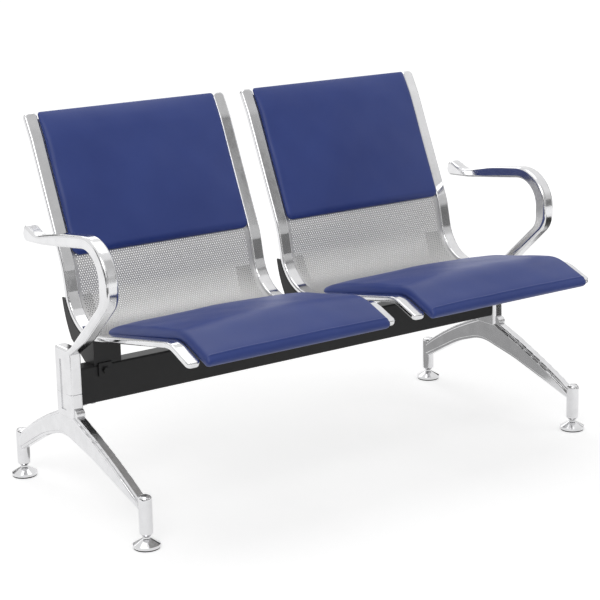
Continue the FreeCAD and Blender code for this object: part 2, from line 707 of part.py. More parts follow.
def plug(middle, end, along, side):
    """A rounded end plug with a spigot inside the tube. 'along' points out of the tube."""
    width, depth = size("tube_width"), size("tube_depth")
    inset = size("tube_wall") + size("plug_gap")
    half, length = vector(width / 2, 0, 0), along * size("plug_length")
    low = end - side * (depth / 2)
    corners = [low - half, low - half + length, low + half + length, low + half]
    edges = rounded_edges(corners, [size("plug_corner")] * 2)
    edges.append(Part.LineSegment(corners[-1], corners[0]).toShape())
    head = Part.Face(Part.Wire(edges)).extrude(side * depth)
    rims = [edge for edge in head.Edges
            if abs(abs((edge.CenterOfMass - end).dot(side)) - depth / 2) < 0.01
            and (edge.CenterOfMass - end).dot(along) > 0.01]
    head = head.makeFillet(size("tube_round"), rims)
    spigot = Part.Face(flat_section(width - 2 * inset, depth - 2 * inset,
                                    size("tube_round") - inset, end, side))
    whole = head.fuse(spigot.extrude(along * -size("plug_spigot")))
    whole.translate(vector(middle, 0, 0))
    return whole


def make_plugs(seat):
    centre_line = seat_edges(size("tube_depth") / 2)
    top, tip = edge_ends(centre_line)
    plugs = []
    for edge in SIDES:
        middle = tube_centre(seat, edge)
        plugs.append(plug(middle, top, (SEAT[0] - SEAT[1]).normalize(), across(SEAT[0], SEAT[1])))
        plugs.append(plug(middle, tip, (SEAT[-1] - SEAT[-2]).normalize(),
                          across(SEAT[-2], SEAT[-1])))
    shaped("tube_plugs_" + seat, Part.Compound(plugs))


def pad_screw_seats(seat, runs):
    """Where pad screws bear on the rear of the sheet: point and outward direction."""
    seats = []
    for run, distances in runs:
        away = across(SEAT[run], SEAT[run + 1]) * -1
        for distance in distances:
            for turn in (-1, 1):
                point = station(run, distance, size("sheet_lift"))
                point.x = seat_centre(seat) + turn * size("pad_screw_x")
                seats.append((point, away))
    return seats


PAN_SCREWS = [(PAN_RUN, (size("pan_screw_first"),
                         size("pan_run") - size("pan_screw_front_gap")))]
BACK_SCREWS = [(BACK_RUN, (size("back_screw_first"), size("back_screw_second")))]


def screw_holes(seats, extra):
    """Rods that open a screw's way from behind the sheet through to the end of its bite."""
    reach = size("sheet_thick") + size("pad_screw_bite") + extra
    return [rod(size("pad_screw_radius") + extra, point + away, away * -1, reach + 1)
            for point, away in seats]


def make_sheet(seat):
    gap = size("sheet_end_gap")
    middle = seat_centre(seat)
    plate = ribbon(size("sheet_lift"), SHEET_TOP, (CREST_RUN, gap),
                   (LIP_RUN, size("lip_run") - gap), middle - INNER_HALF, middle + INNER_HALF)
    seats = pad_screw_seats(seat, PAN_SCREWS + BACK_SCREWS)
    shaped("seat_sheet_" + seat, plate.cut(screw_holes(seats, size("bolt_clear"))))


def make_bars(seat):
    """Flat cross bars behind the sheet, from tube to tube, each square to the seat line."""
    front = size("pan_run") - size("bar_front_gap") - size("bar_width")
    for name, run, place in (("front_pan", PAN_RUN, front),
                             ("rear_pan", PAN_RUN, size("bar_rear_at")),
                             ("lower_back", BACK_RUN, size("bar_low_at")),
                             ("upper_back", BACK_RUN, size("bar_high_at"))):
        bar = doc.addObject("Part::Box", "Bar_%s_%s" % (name, seat))
        bind(bar, Length="Sizes.seat_width - 2 * Sizes.tube_width", Width="Sizes.bar_width",
             Height="Sizes.sheet_lift")
        along = (SEAT[run + 1] - SEAT[run]).normalize()
        turn = FreeCAD.Rotation(vector(1, 0, 0), along, across(SEAT[run], SEAT[run + 1]), "XZY")
        corner = station(run, place + size("bar_width"))
        corner.x = seat_centre(seat) - INNER_HALF
        bar.Placement = FreeCAD.Placement(corner, turn)
        node("%s_bar_%s" % (name, seat), bar)


def pad_rims():
    """From one side of a pad to its middle: X, end inset, and share of the side roll."""
    half = INNER_HALF - size("pad_side_gap")
    corner = size("pad_corner")
    for step in range(5):
        angle = math.radians(22.5 * step)
        yield (half - corner * (1 - math.cos(angle)), corner * (1 - math.sin(angle)),
               math.sin(angle))


def nose(low, top, outward, bow):
    """The bowed end of a pad's side profile, as one arc under a half circle."""
    chord = top - low
    square = vector(0, chord.z, -chord.y)
    if square.dot(outward) < 0:
        square = square * -1
    return Part.Arc(low, (low + top) * 0.5 + square * bow, top).toShape()


def pad_profile(x, ends, rolls, bows, inset, high):
    """The closed side profile of a pad at one X. Each end rolls back and bows out."""
    first, last = ends
    first = (first[0], first[1] + inset)
    last = (last[0], last[1] - inset)
    under = seat_edges(SHEET_TOP + size("pad_gap"), first, last)
    over = seat_edges(high, (first[0], first[1] + rolls[0]), (last[0], last[1] - rolls[1]))
    (under_first, under_last), (over_first, over_last) = edge_ends(under), edge_ends(over)
    up = (SEAT[first[0]] - SEAT[first[0] + 1]).normalize()
    down = (SEAT[last[0] + 1] - SEAT[last[0]]).normalize()
    noses = [nose(under_first, over_first, up, bows[0]),
             nose(under_last, over_last, down, bows[1])]
    outline = Part.Wire(under + [noses[1]] + over[::-1] + [noses[0]])
    outline.translate(vector(x, 0, 0))
    return outline


def pad_stations(name):
    """Across a pad, from side to side: X, end inset and height of every profile."""
    edge_high, side_high, middle_high = (size("%s_pad_%s" % (name, part))
                                         for part in ("edge", "side", "middle"))
    rims = list(pad_rims())
    half_profiles = [(x, inset, edge_high + (side_high - edge_high) * share)
                     for x, inset, share in rims]
    quarter_high = side_high + (middle_high - side_high) * 0.75
    half_profiles.append((rims[-1][0] / 2, 0.0, quarter_high))
    other_half = [(-x, inset, high) for x, inset, high in reversed(half_profiles)]
    return half_profiles + [(0.0, 0.0, middle_high)] + other_half


def make_pad(name, seat, ends, rolls, bows, screws):
    """A crowned pad with rolled sides, and the board in its recess that its screws bite."""
    start, stop = ends
    pad = Part.makeLoft([pad_profile(x, ends, rolls, bows, inset, high)
                         for x, inset, high in pad_stations(name)], True, False)
    inset, gap = size("board_inset"), size("pad_gap")
    half = INNER_HALF - size("pad_side_gap") - inset
    middle = seat_centre(seat)
    board_start = (start[0], start[1] + inset)
    board_stop = (stop[0], stop[1] - inset)
    recess = ribbon(size("sheet_lift"), BOARD_TOP + gap, (start[0], board_start[1] - gap),
                    (stop[0], board_stop[1] + gap), -half - gap, half + gap)
    pad = pad.cut(recess)
    pad.translate(vector(middle, 0, 0))
    shaped("%s_pad_%s" % (name, seat), pad)
    board = ribbon(SHEET_TOP, BOARD_TOP, board_start, board_stop, middle - half, middle + half)
    places = pad_screw_seats(seat, screws)
    shaped("%s_board_%s" % (name, seat), board.cut(screw_holes(places, size("thread_gap"))))
    group("%s_pad_screws_%s" % (name, seat),
          [headed("%s_pad_screw_%s_%d" % (name, seat, number), point, away,
                  "Sizes.pad_screw_head", "Sizes.pad_screw_head_high",
                  "Sizes.pad_screw_radius", "Sizes.sheet_thick + Sizes.pad_screw_bite", 0)
           for number, (point, away) in enumerate(places)])


def make_pads(seat):
    seat_roll, back_roll = size("seat_pad_roll"), size("back_pad_roll")
    bow = size("pad_nose_ratio")
    front_end = size("lip_run") + size("plug_length") + size("seat_pad_over")
    make_pad("seat", seat, ((PAN_RUN, BEND_REACH + size("pad_start_gap")), (LIP_RUN, front_end)),
             (seat_roll, size("pad_front_roll")), (bow, size("pad_front_ratio")), PAN_SCREWS)
    lumbar_reach = corner_reach(BACK_RUN + 1, size("lumbar_radius"))
    low_end = run_length(BACK_RUN) - lumbar_reach - size("pad_start_gap")
    make_pad("back", seat, ((CREST_RUN, size("back_pad_over")), (BACK_RUN, low_end)),
             (back_roll, back_roll), (bow, bow), BACK_SCREWS)


# Seat brackets: a saddle that follows the bend, two webs, a foot on the beam and a front tab

def bend_point(angle, radius_change):
    """A point by the seat line's bend and its outward direction. The angle starts below."""
    corner = SEAT[LUMBAR_RUN + 1]
    back = (SEAT[LUMBAR_RUN] - corner).normalize()
    onward = (SEAT[PAN_RUN + 1] - corner).normalize()
    half = back.getAngle(onward) / 2
    centre = corner + (back + onward).normalize() * (size("bend_radius") / math.sin(half))
    down = across(SEAT[PAN_RUN], SEAT[PAN_RUN + 1]) * -1
    out = FreeCAD.Rotation(vector(1, 0, 0), angle).multVec(down)
    return centre + out * (size("bend_radius") + radius_change), out


def frame_bolt_axes(x):
    """Seat and outward direction of the two bolts from a bracket into a side tube."""
    for name in ("frame_bolt_low_angle", "frame_bolt_high_angle"):
        point, out = bend_point(size(name), PLATE)
        point.x = x
        yield point, out


def bolt_x(outer, inward):
    """X of the middle of the side tube above a bracket."""
    return outer + inward * size("tube_width") / 2


def frame_bolt_holes(x, radius):
    return [rod(radius, point + out, out * -1, 2 * PLATE + 1)
            for point, out in frame_bolt_axes(x)]


def beam_bolt_axes(outer, inward):
    """Seat and outward direction of the bolts through a bracket's foot and front tab."""
    x = clamp_x(outer, inward)
    yield vector(x, BEAM_FRONT + size("base_bolt_inset"), BEAM_TOP + PLATE), vector(0, 0, 1)
    yield vector(x, BEAM_FRONT - PLATE, size("tab_bolt_z")), vector(0, -1, 0)


def web_outline(start, stop):
    line_edges = seat_edges(0, start, stop)
    top, front = edge_ends(line_edges)
    horn_low = (size("horn_low_y"), size("horn_low_z"))
    horn_end = (size("horn_end_y"), size("horn_end_z"))
    closing = [
        line((front.y, front.z), (front.y, BEAM_TOP)),
        line((front.y, BEAM_TOP), (BEAM_REAR, BEAM_TOP)),
        line((BEAM_REAR, BEAM_TOP), horn_low),
        arc(horn_low, (size("horn_mid_y"), size("horn_mid_z")), horn_end),
        line(horn_end, (top.y, top.z)),
    ]
    return Part.Wire(Part.__sortEdges__(line_edges + closing))


def make_bracket(name, outer, inward):
    x_low, x_high = sorted((outer, outer + inward * size("bracket_width")))
    spare = size("bracket_spare")
    start = (LUMBAR_RUN, run_length(LUMBAR_RUN) - BEND_REACH - spare)
    stop = (PAN_RUN, BEND_REACH + spare)
    reach = block(x_low, x_high, BEAM_FRONT, size("horn_end_y") + PLATE, BEAM_TOP,
                  size("horn_top_z"))
    saddle = ribbon(-PLATE, 0, start, stop, x_low, x_high)
    web = Part.Face(web_outline(start, stop)).extrude(vector(PLATE, 0, 0))
    webs = []
    for x in (x_low, x_high - PLATE):
        one = web.copy()
        one.translate(vector(x, 0, 0))
        webs.append(one)
    inside = Part.Face(web_outline(start, stop)).extrude(vector(x_high - x_low, 0, 0))
    inside.translate(vector(x_low, 0, 0))
    webs.append(inside.common(block(x_low, x_high, BEAM_FRONT, BEAM_FRONT + PLATE, BEAM_TOP,
                                    size("horn_top_z"))))
    tab_half = size("clamp_tab_width") / 2
    tab_x = clamp_x(outer, inward)
    foot = block(x_low, x_high, BEAM_FRONT, BEAM_REAR, BEAM_TOP, BEAM_TOP + PLATE)
    tab = block(tab_x - tab_half, tab_x + tab_half, BEAM_FRONT - PLATE, BEAM_FRONT,
                size("clamp_tab_low_z"), BEAM_TOP + PLATE)
    whole = saddle.multiFuse(webs).common(reach).multiFuse([foot, tab])
    clear = size("bolt_radius") + size("bolt_clear")
    holes = frame_bolt_holes(bolt_x(outer, inward), clear)
    holes += [rod(clear, point + out, out * -1, PLATE + 2)
              for point, out in beam_bolt_axes(outer, inward)]
    shaped("bracket_" + name, whole.cut(holes).removeSplitter())


def make_brackets_and_bolts():
    frame_bolts = {seat: [] for seat in SIDES}
    beam_bolts = {seat: [] for seat in SIDES}
    for name, outer, inward in bracket_spans():
        make_bracket(name, outer, inward)
        seat = name.split("_")[0]
        for number, (point, out) in enumerate(frame_bolt_axes(bolt_x(outer, inward))):
            frame_bolts[seat].append(headed(
                "Frame_bolt_%s_%d" % (name, number), point, out, "Sizes.bolt_head_radius",
                "Sizes.bolt_head_high", "Sizes.bolt_radius", "Sizes.frame_bolt_length"))
        for number, (point, out) in enumerate(beam_bolt_axes(outer, inward)):
            beam_bolts[seat].append(headed(
                "Beam_bolt_%s_%d" % (name, number), point, out, "Sizes.bolt_head_radius",
                "Sizes.bolt_head_high", "Sizes.bolt_radius", "Sizes.beam_bolt_length"))
    for seat in SIDES:
        group("frame_bolts_" + seat, frame_bolts[seat])
        group("beam_bolts_" + seat, beam_bolts[seat])


def make_seat(seat):
    for edge in SIDES:
        x = tube_centre(seat, edge)
        make_side_tube(seat, edge, frame_bolt_holes(x, size("bolt_radius") + size("thread_gap")))
    make_plugs(seat)
    make_sheet(seat)
    make_bars(seat)
    make_pads(seat)


def make_all():
    make_beam()
    for side in SIDES:
        make_leg(side)
        make_arm(side)
        make_lock_screws(side)
        x = SIDES[side] * size("leg_spacing") / 2
        make_foot(side + "_front", x, size("foot_front_y"))
        make_foot(side + "_rear", x, size("foot_rear_y"))
        make_seat(side)
    make_brackets_and_bolts()


def centre_on_floor():
    """Move every node so that the origin is on the floor under the middle of the whole."""
    boxes = [item.Shape.optimalBoundingBox(True, False) for item in NODES]
    middle_y = (min(box.YMin for box in boxes) + max(box.YMax for box in boxes)) / 2
    middle_x = (min(box.XMin for box in boxes) + max(box.XMax for box in boxes)) / 2
    floor = min(box.ZMin for box in boxes)
    shift = FreeCAD.Placement(vector(-middle_x, -middle_y, -floor), FreeCAD.Rotation())
    for item in NODES:
        item.Placement = shift.multiply(item.Placement)
    print("moved by Y %.3f, Z %.3f" % (-middle_y, -floor))


def check_and_export():
    failed = [item.Name for item in doc.Objects
              if "Invalid" in item.State or "Error" in item.State]
    for item in NODES:
        if item.Shape.isNull() or not item.Shape.isValid() or not item.Shape.Solids:
            failed.append(item.Label)
    if failed:
        raise RuntimeError("failed objects: " + ", ".join(failed))
    os.makedirs("parts", exist_ok=True)
    for item in NODES:
        item.Shape.exportStep("parts/%s.step" % item.Label)
        box = item.Shape.BoundBox
        print("%-28s %2d solids  %9.0f mm3  X %.0f..%.0f Y %.0f..%.0f Z %.0f..%.0f" % (
            item.Label, len(item.Shape.Solids), item.Shape.Volume, box.XMin, box.XMax,
            box.YMin, box.YMax, box.ZMin, box.ZMax))
    print(len(NODES), "nodes")


make_all()
doc.recompute()
centre_on_floor()
doc.recompute()
check_and_export()
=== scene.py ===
import math

import bpy
import numpy as np
from mathutils import Matrix, Vector

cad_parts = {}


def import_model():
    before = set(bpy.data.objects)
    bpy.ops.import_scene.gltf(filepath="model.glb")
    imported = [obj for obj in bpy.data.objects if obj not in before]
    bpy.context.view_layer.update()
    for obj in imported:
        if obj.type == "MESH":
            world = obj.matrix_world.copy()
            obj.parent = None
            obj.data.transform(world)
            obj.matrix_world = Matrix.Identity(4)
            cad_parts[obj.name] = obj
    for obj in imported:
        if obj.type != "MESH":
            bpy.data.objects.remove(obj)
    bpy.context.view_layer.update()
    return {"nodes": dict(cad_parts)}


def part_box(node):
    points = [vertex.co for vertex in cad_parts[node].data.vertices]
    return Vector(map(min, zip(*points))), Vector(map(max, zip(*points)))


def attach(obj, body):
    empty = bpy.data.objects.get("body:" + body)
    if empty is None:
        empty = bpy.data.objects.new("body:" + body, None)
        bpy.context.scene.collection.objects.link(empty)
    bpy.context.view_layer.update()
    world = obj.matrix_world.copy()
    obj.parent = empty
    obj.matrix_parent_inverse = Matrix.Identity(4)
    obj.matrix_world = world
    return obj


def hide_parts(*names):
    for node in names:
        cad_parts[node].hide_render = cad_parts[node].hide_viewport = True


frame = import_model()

SIDES = {"left": -1, "right": 1}

# The seat line: the rear and under face of the side tubes, in the YZ plane, in metres and
# degrees. Y is counted from midway between the feet, and FEET_Y is where the frame has that.
BEAM_MIDDLE_Y = 0.029
FEET_Y = (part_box("beam")[0].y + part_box("beam")[1].y) / 2 - BEAM_MIDDLE_Y
BEND_Y, BEND_Z = 0.105, 0.335
LUMBAR_RUN, LUMBAR_LEAN = 0.160, 12.3
BACK_RUN, BACK_LEAN = 0.273, 23.8
CREST_RUN, CREST_LEAN = 0.047, 29.4
PAN_RUN, PAN_RISE = 0.401, 9.8
LIP_RUN, LIP_FALL = 0.062, 21.8
CREST_RADIUS, LUMBAR_RADIUS, BEND_RADIUS, LIP_RADIUS = 0.120, 0.150, 0.105, 0.060

SEAT_WIDTH, SEAT_GAP, TUBE_WIDTH = 0.5036, 0.048, 0.030
SEAT_X = (SEAT_WIDTH + SEAT_GAP) / 2
INNER_HALF = SEAT_WIDTH / 2 - TUBE_WIDTH
SHEET_LOW, SHEET_HIGH = 0.005, 0.0065


def lean(run, degrees_from_up):
    """A run in the YZ plane that rises and leans back by an angle."""
    angle = math.radians(degrees_from_up)
    return Vector((run * math.sin(angle), run * math.cos(angle)))


def seat_corners():
    """Corners from the top of the back to the tip of the front lip, as (Y, Z)."""
    bend = Vector((BEND_Y + FEET_Y, BEND_Z))
    lumbar = bend + lean(LUMBAR_RUN, LUMBAR_LEAN)
    crest = lumbar + lean(BACK_RUN, BACK_LEAN)
    top = crest + lean(CREST_RUN, CREST_LEAN)
    lip = bend + lean(PAN_RUN, PAN_RISE - 90)
    tip = lip + lean(LIP_RUN, -90 - LIP_FALL)
    return [top, crest, lumbar, bend, lip, tip]


class Run:
    """A straight stretch of a line, from a distance along it."""

    def __init__(self, begin, start, stop):
        self.begin = begin
        self.length = (stop - start).length
        self.start = start
        self.direction = (stop - start) / self.length

    def at(self, distance):
        """The point at a distance along the line, and the line's direction there."""
        return self.start + self.direction * (distance - self.begin), self.direction


class Arc:
    """A round stretch of a line, from a distance along it."""

    def __init__(self, begin, centre, start, stop, radius):
        first, last = start - centre, stop - centre
        self.begin = begin
        self.centre = centre
        self.radius = radius
        self.angle = math.atan2(first.y, first.x)
        self.sweep = math.atan2(first.x * last.y - first.y * last.x, first.dot(last))
        self.length = abs(self.sweep) * radius

    def at(self, distance):
        """The point at a distance along the line, and the line's direction there."""
        turned = self.angle + self.sweep * (distance - self.begin) / self.length
        spoke = Vector((math.cos(turned), math.sin(turned)))
        onward = Vector((-math.sin(turned), math.cos(turned))) * math.copysign(1, self.sweep)
        return self.centre + spoke * self.radius, onward


class RoundedLine:
    """Straight runs joined by tangent arcs, read by the distance along them."""

    def __init__(self, corners, radii):
        self.parts = []
        self.length = 0.0
        start = corners[0]
        for before, corner, after, radius in zip(corners, corners[1:], corners[2:], radii):
            back = (before - corner).normalized()
            onward = (after - corner).normalized()
            half = back.angle(onward) / 2
            reach = radius / math.tan(half)
            centre = corner + (back + onward).normalized() * (radius / math.sin(half))
            self.add(Run(self.length, start, corner + back * reach))
            self.add(Arc(self.length, centre, corner + back * reach, corner + onward * reach,
                         radius))
            start = corner + onward * reach
        self.add(Run(self.length, start, corners[-1]))

    def add(self, part):
        self.parts.append(part)
        self.length += part.length

    def at(self, distance, offset):
        """The point at a distance, moved towards the sitter by the offset, as (Y, Z)."""
        part = self.parts[0]
        for candidate in self.parts:
            if distance >= candidate.begin:
                part = candidate
        point, direction = part.at(distance)
        return point + Vector((direction.y, -direction.x)) * offset


SEAT_LINE = RoundedLine(seat_corners(), [CREST_RADIUS, LUMBAR_RADIUS, BEND_RADIUS, LIP_RADIUS])

# Places in the line's list of parts, where runs and arcs take turns.
LUMBAR_ARC, PAN_RUN_PART = 3, 6


# Shader helpers

def new_material(name):
    """An empty node material and its parts: the material, its tree and its principled node."""
    material = bpy.data.materials.new(name)
    material.use_nodes = True
    tree = material.node_tree
    return material, tree, tree.nodes["Principled BSDF"]


def feed(tree, node, sockets):
    """Give sockets, by name or number, each a value or the output that it takes."""
    for name, value in sockets.items():
        if isinstance(value, bpy.types.NodeSocket):
            tree.links.new(value, node.inputs[name])
        else:
            node.inputs[name].default_value = value


def add_node(tree, kind, sockets, **attributes):
    """A new node with its attributes set and its sockets fed."""
    node = tree.nodes.new(kind)
    for name, value in attributes.items():
        setattr(node, name, value)
    feed(tree, node, sockets)
    return node


def object_coordinates(tree, scale=(1, 1, 1)):
    """Object coordinates with a scale for each axis. Every piece sits at the origin."""
    place = tree.nodes.new("ShaderNodeTexCoord")
    sockets = {"Scale": scale, "Vector": place.outputs["Object"]}
    return add_node(tree, "ShaderNodeMapping", sockets).outputs["Vector"]


def noise(tree, vector, scale, detail, roughness=0.5):
    """A noise pattern's strength from 0 to 1."""
    sockets = {"Scale": scale, "Detail": detail, "Roughness": roughness, "Vector": vector}
    return add_node(tree, "ShaderNodeTexNoise", sockets).outputs["Fac"]


def two_tone(tree, factor, dark, light, dark_to=0.3, light_from=0.7):
    """One colour up to a factor, another from a higher one, and a blend in between."""
    node = add_node(tree, "ShaderNodeValToRGB", {"Fac": factor})
    first, last = node.color_ramp.elements
    first.position = dark_to
    first.color = (*dark, 1)
    last.position = light_from
    last.color = (*light, 1)
    return node.outputs["Color"]


def map_range(tree, value, low, high, from_low=0.0, from_high=1.0):
    """A value carried over from one span to another, and kept within it."""
    sockets = {"Value": value, "From Min": from_low, "From Max": from_high,
               "To Min": low, "To Max": high}
    return add_node(tree, "ShaderNodeMapRange", sockets).outputs["Result"]


def bump(tree, height, distance, strength, over=None):
    """The normal of a bump pattern, laid over another bump's normal where one is given."""
    sockets = {"Height": height, "Distance": distance, "Strength": strength}
    if over is not None:
        sockets["Normal"] = over
    return add_node(tree, "ShaderNodeBump", sockets).outputs["Normal"]


# Materials. A scale counts a pattern's turns to a metre, and bump distances are in metres.

BLUE_DARK, BLUE_LIGHT = (0.020, 0.046, 0.235), (0.029, 0.060, 0.275)
PLATING = (0.74, 0.74, 0.75)
PLATING_HAZE = 0.93
SILVER_DARK, SILVER_LIGHT = (0.56, 0.555, 0.55), (0.70, 0.695, 0.69)
BLACK_DARK, BLACK_LIGHT = (0.007, 0.007, 0.0075), (0.012, 0.012, 0.0125)
ZINC_DARK, ZINC_LIGHT = (0.46, 0.46, 0.47), (0.64, 0.64, 0.64)
RUBBER_DARK, RUBBER_LIGHT = (0.012, 0.012, 0.012), (0.03, 0.03, 0.03)
WOOD_DARK, WOOD_LIGHT = (0.17, 0.105, 0.055), (0.33, 0.22, 0.12)
WOOD_STRETCH = (3.0, 60.0, 60.0)


def leatherette():
    """Smooth blue coated fabric with a fine pebble grain."""
    material, tree, shader = new_material("blue_leatherette")
    place = object_coordinates(tree)
    cloud = noise(tree, place, scale=7.0, detail=4.0)
    wear = noise(tree, place, scale=24.0, detail=3.0)
    pebbles = add_node(tree, "ShaderNodeTexVoronoi", {"Scale": 900.0, "Vector": place})
    dents = noise(tree, place, scale=60.0, detail=3.0)
    grain = bump(tree, pebbles.outputs["Distance"], distance=0.00025, strength=0.35)
    feed(tree, shader, {"Base Color": two_tone(tree, cloud, BLUE_DARK, BLUE_LIGHT),
                        "Roughness": map_range(tree, wear, low=0.36, high=0.48),
                        "Specular IOR Level": 0.5,
                        "Normal": bump(tree, dents, distance=0.0006, strength=0.25, over=grain)})
    return material


def bright_plating(name, smoothest, roughest):
    """Bright plated metal with slight polishing haze and ripple."""
    material, tree, shader = new_material(name)
    place = object_coordinates(tree)
    haze = noise(tree, place, scale=35.0, detail=5.0)
    ripple = noise(tree, place, scale=48.0, detail=2.0)
    dull = tuple(PLATING_HAZE * value for value in PLATING)
    tone = two_tone(tree, haze, dull, PLATING, dark_to=0.35, light_from=0.65)
    feed(tree, shader, {"Base Color": tone, "Metallic": 1.0,
                        "Roughness": map_range(tree, haze, low=smoothest, high=roughest),
                        "Normal": bump(tree, ripple, distance=0.0004, strength=0.12)})
    return material


def silver_coat(name):
    """Silver grey powder coat on sheet steel."""
    material, tree, shader = new_material(name)
    place = object_coordinates(tree)
    fleck = noise(tree, place, scale=1500.0, detail=1.0)
    peel = noise(tree, place, scale=700.0, detail=2.0)
    tone = two_tone(tree, fleck, SILVER_DARK, SILVER_LIGHT, dark_to=0.35, light_from=0.65)
    feed(tree, shader, {"Base Color": tone, "Metallic": 0.55, "Roughness": 0.42,
                        "Normal": bump(tree, peel, distance=0.0001, strength=0.2)})
    return material


def black_coat():
    """Satin black powder coat with its fine orange peel."""
    material, tree, shader = new_material("black_powder_coat")
    place = object_coordinates(tree)
    cloud = noise(tree, place, scale=12.0, detail=4.0)
    wear = noise(tree, place, scale=180.0, detail=3.0)
    peel = noise(tree, place, scale=420.0, detail=2.0)
    feed(tree, shader, {"Base Color": two_tone(tree, cloud, BLACK_DARK, BLACK_LIGHT),
                        "Specular IOR Level": 0.35,
                        "Roughness": map_range(tree, wear, low=0.38, high=0.5),
                        "Normal": bump(tree, peel, distance=0.00025, strength=0.3)})
    return material


def zinc():
    """Dull zinc plating on fasteners and studs."""
    material, tree, shader = new_material("zinc_plate")
    blotch = noise(tree, object_coordinates(tree), scale=160.0, detail=4.0)
    feed(tree, shader, {"Base Color": two_tone(tree, blotch, ZINC_DARK, ZINC_LIGHT),
                        "Metallic": 1.0,
                        "Roughness": map_range(tree, blotch, low=0.28, high=0.45)})
    return material


def sole_rubber():
    """Matte black rubber with a fine grain."""
    material, tree, shader = new_material("sole_rubber")
    place = object_coordinates(tree)
    cloud = noise(tree, place, scale=90.0, detail=4.0)
    grain = noise(tree, place, scale=600.0, detail=2.0)
    feed(tree, shader, {"Base Color": two_tone(tree, cloud, RUBBER_DARK, RUBBER_LIGHT),
                        "Roughness": 0.75,
                        "Normal": bump(tree, grain, distance=0.0002, strength=0.3)})
    return material


def plywood():
    """Raw plywood backing board: long grain across the seat."""
    material, tree, shader = new_material("backing_plywood")
    grain = noise(tree, object_coordinates(tree, WOOD_STRETCH), scale=6.0, detail=6.0,
                  roughness=0.6)
    feed(tree, shader, {"Base Color": two_tone(tree, grain, WOOD_DARK, WOOD_LIGHT),
                        "Roughness": 0.7,
                        "Normal": bump(tree, grain, distance=0.0003, strength=0.3)})
    return material


def coat_nodes(material, *starts):
    """Give every shown CAD node whose name starts so this material."""
    for name, item in frame["nodes"].items():
        if name.startswith(starts):
            item.data.materials.clear()
            item.data.materials.append(material)


# Object and mesh helpers

def new_object(name, data):
    """An object in the scene."""
    item = bpy.data.objects.new(name, data)
    bpy.context.scene.collection.objects.link(item)
    return item


def new_piece(name, vertices, faces, material, smooth_degrees):
    """A mesh piece that rides on the frame body and takes its finish from a slot."""
    mesh = bpy.data.meshes.new(name)
    mesh.from_pydata(vertices, [], faces)
    mesh.validate()
    mesh.shade_smooth()
    mesh.set_sharp_from_angle(angle=math.radians(smooth_degrees))
    mesh.materials.append(material)
    piece = new_object(name, mesh)
    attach(piece, "frame")
    return piece


def new_quad(name, corners, material):
    """A single flat face, which belongs to the stage and not to the object."""
    mesh = bpy.data.meshes.new(name)
    mesh.from_pydata(corners, [], [(0, 1, 2, 3)])
    mesh.materials.append(material)
    item = new_object(name, mesh)
    return item


def merged(points, faces, steps_per_metre):
    """Join points that share a place, and leave out the corners and faces this closes up."""
    keys = np.round(np.array(points) * steps_per_metre).astype(np.int64)
    _, first, index = np.unique(keys, axis=0, return_index=True, return_inverse=True)
    index = index.reshape(-1)
    open_faces = []
    for face in faces:
        corners = [int(index[k]) for k in face]
        corners = [k for n, k in enumerate(corners) if k != corners[n - 1]]
        if len(set(corners)) >= 3:
            open_faces.append(tuple(corners))
    return [points[k] for k in first], open_faces


# Perforated sheet: staggered rows of hexagonal holes, each hole in a cell of its own

HOLE_PITCH = 0.0056
HOLE_RADIUS = 0.0014
HOLE_SIDES = 6
HOLE_TURNS = [2 * math.pi * step / HOLE_SIDES for step in range(HOLE_SIDES)]
HOLE_CORNERS = [(math.cos(turn), math.sin(turn)) for turn in HOLE_TURNS]
ROW_PITCH = HOLE_PITCH * math.sin(math.radians(60))
CELL_CORNERS = 4
FACE_POINTS = CELL_CORNERS + HOLE_SIDES
SHEET_LENGTHS = 3
SHEET_MARGIN = 0.007
SHEET_END = 0.004
SHEET_STEPS_PER_METRE = 1e5
PLACE_DIGITS = 7
SHEET_SMOOTH_DEGREES = 30


def cell_faces(base):
    """Faces of one cell whose points start at base: front, back and the walls of its hole.
    The front has its four corners and then the hole's, and the back repeats them."""
    faces, holes = [], []
    for start in (base, base + FACE_POINTS):
        right_top, left_top, left_low, right_low = range(start, start + CELL_CORNERS)
        hole = range(start + CELL_CORNERS, start + FACE_POINTS)
        side = [(right_top, left_top, hole[2], hole[1]),
                (left_low, right_low, hole[5], hole[4]),
                (left_top, hole[3], hole[2]), (left_top, left_low, hole[3]),
                (left_low, hole[4], hole[3]),
                (right_low, hole[0], hole[5]), (right_low, right_top, hole[0]),
                (right_top, hole[1], hole[0])]
        faces += side if start == base else [face[::-1] for face in side]
        holes.append(hole)
    front, back = holes
    for k in range(HOLE_SIDES):
        after = (k + 1) % HOLE_SIDES
        faces.append((front[k], front[after], back[after], back[k]))
    return faces


